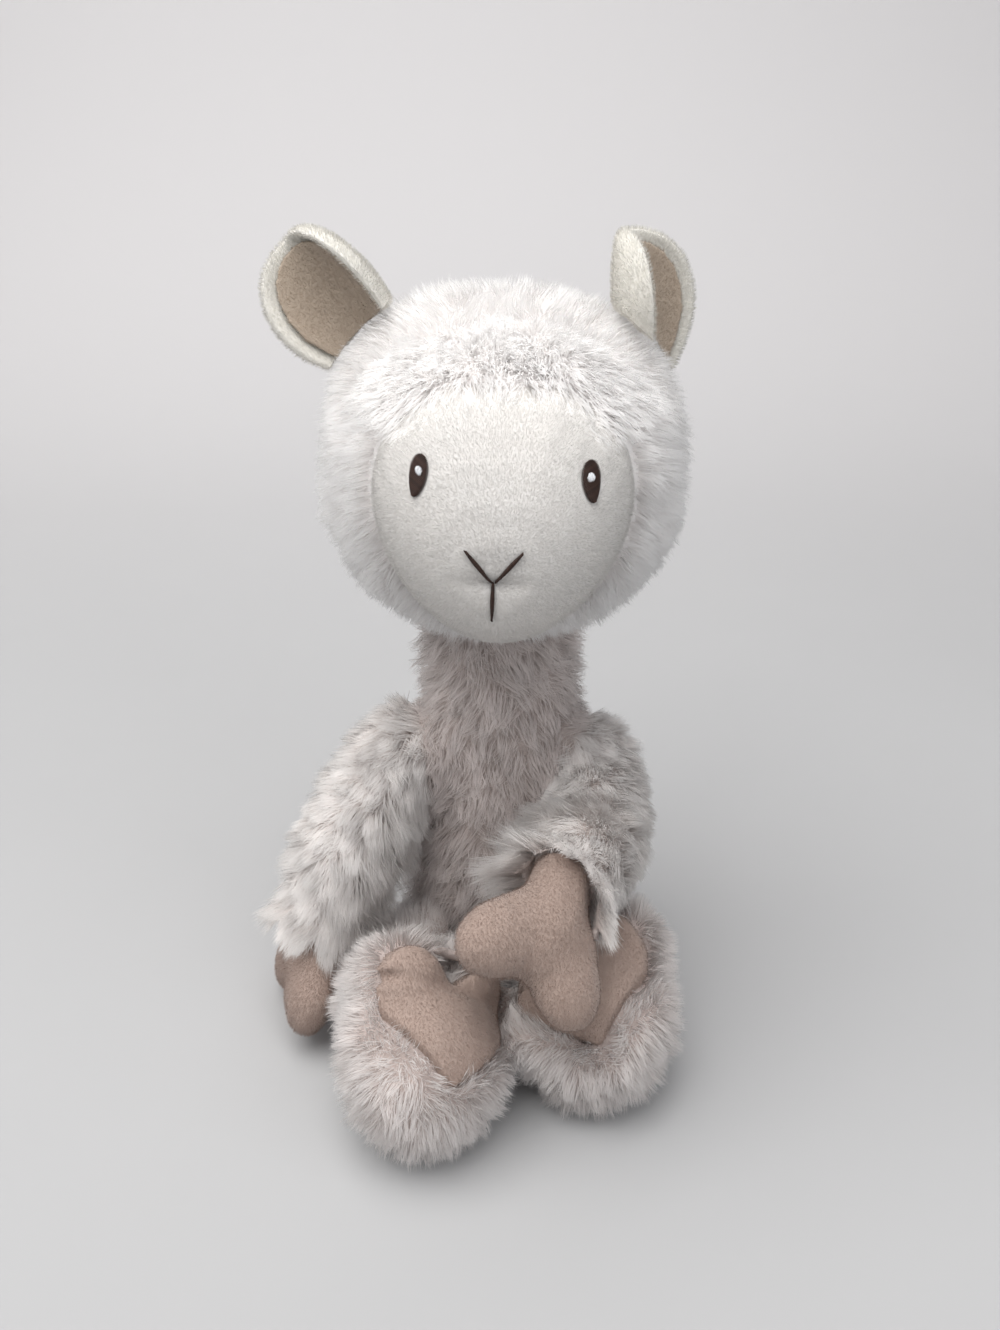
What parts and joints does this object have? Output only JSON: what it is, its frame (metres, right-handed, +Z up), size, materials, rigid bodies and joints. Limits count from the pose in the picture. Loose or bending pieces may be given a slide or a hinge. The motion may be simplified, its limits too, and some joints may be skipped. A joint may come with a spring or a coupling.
{
  "type": "plush llama",
  "caption": "Seated stuffed llama with a shaggy fur body, smooth oval face, cupped ears, mitten-like hooves and heart-shaped soles.",
  "frame": {"origin": "centre of the flat seat, on the floor plane", "axes": "+Z up through the neck and head, -Y the way the toy faces, +X to the viewer's right"},
  "size_m": [0.1485, 0.164, 0.2711],
  "materials": {
    "long_pile": "long shaggy polyester pile",
    "hood_pile": "long soft polyester pile",
    "face_plush": "short velvety nap",
    "ear_plush": "short velvety nap",
    "ear_lining": "short matt nap",
    "hoof_plush": "short velvety nap",
    "dark_thread": "satin stitch, low sheen",
    "white_thread": "satin stitch, low sheen"
  },
  "bodies": {
    "root": {"body": "long_pile", "leg_left": "long_pile", "leg_right": "long_pile", "arm_left": "long_pile", "arm_right": "long_pile", "tail": "long_pile", "head_hood": "hood_pile", "face": "face_plush", "ear_left": "ear_plush", "ear_right": "ear_plush", "ear_lining_left": "ear_lining", "ear_lining_right": "ear_lining", "hoof_left": "hoof_plush", "hoof_right": "hoof_plush", "sole_left": "hoof_plush", "sole_right": "hoof_plush", "eye_left": "dark_thread", "eye_right": "dark_thread", "nose_line_left": "dark_thread", "nose_line_right": "dark_thread", "mouth_line": "dark_thread", "eye_glint_left": "white_thread", "eye_glint_right": "white_thread"}
  },
  "joints": []
}
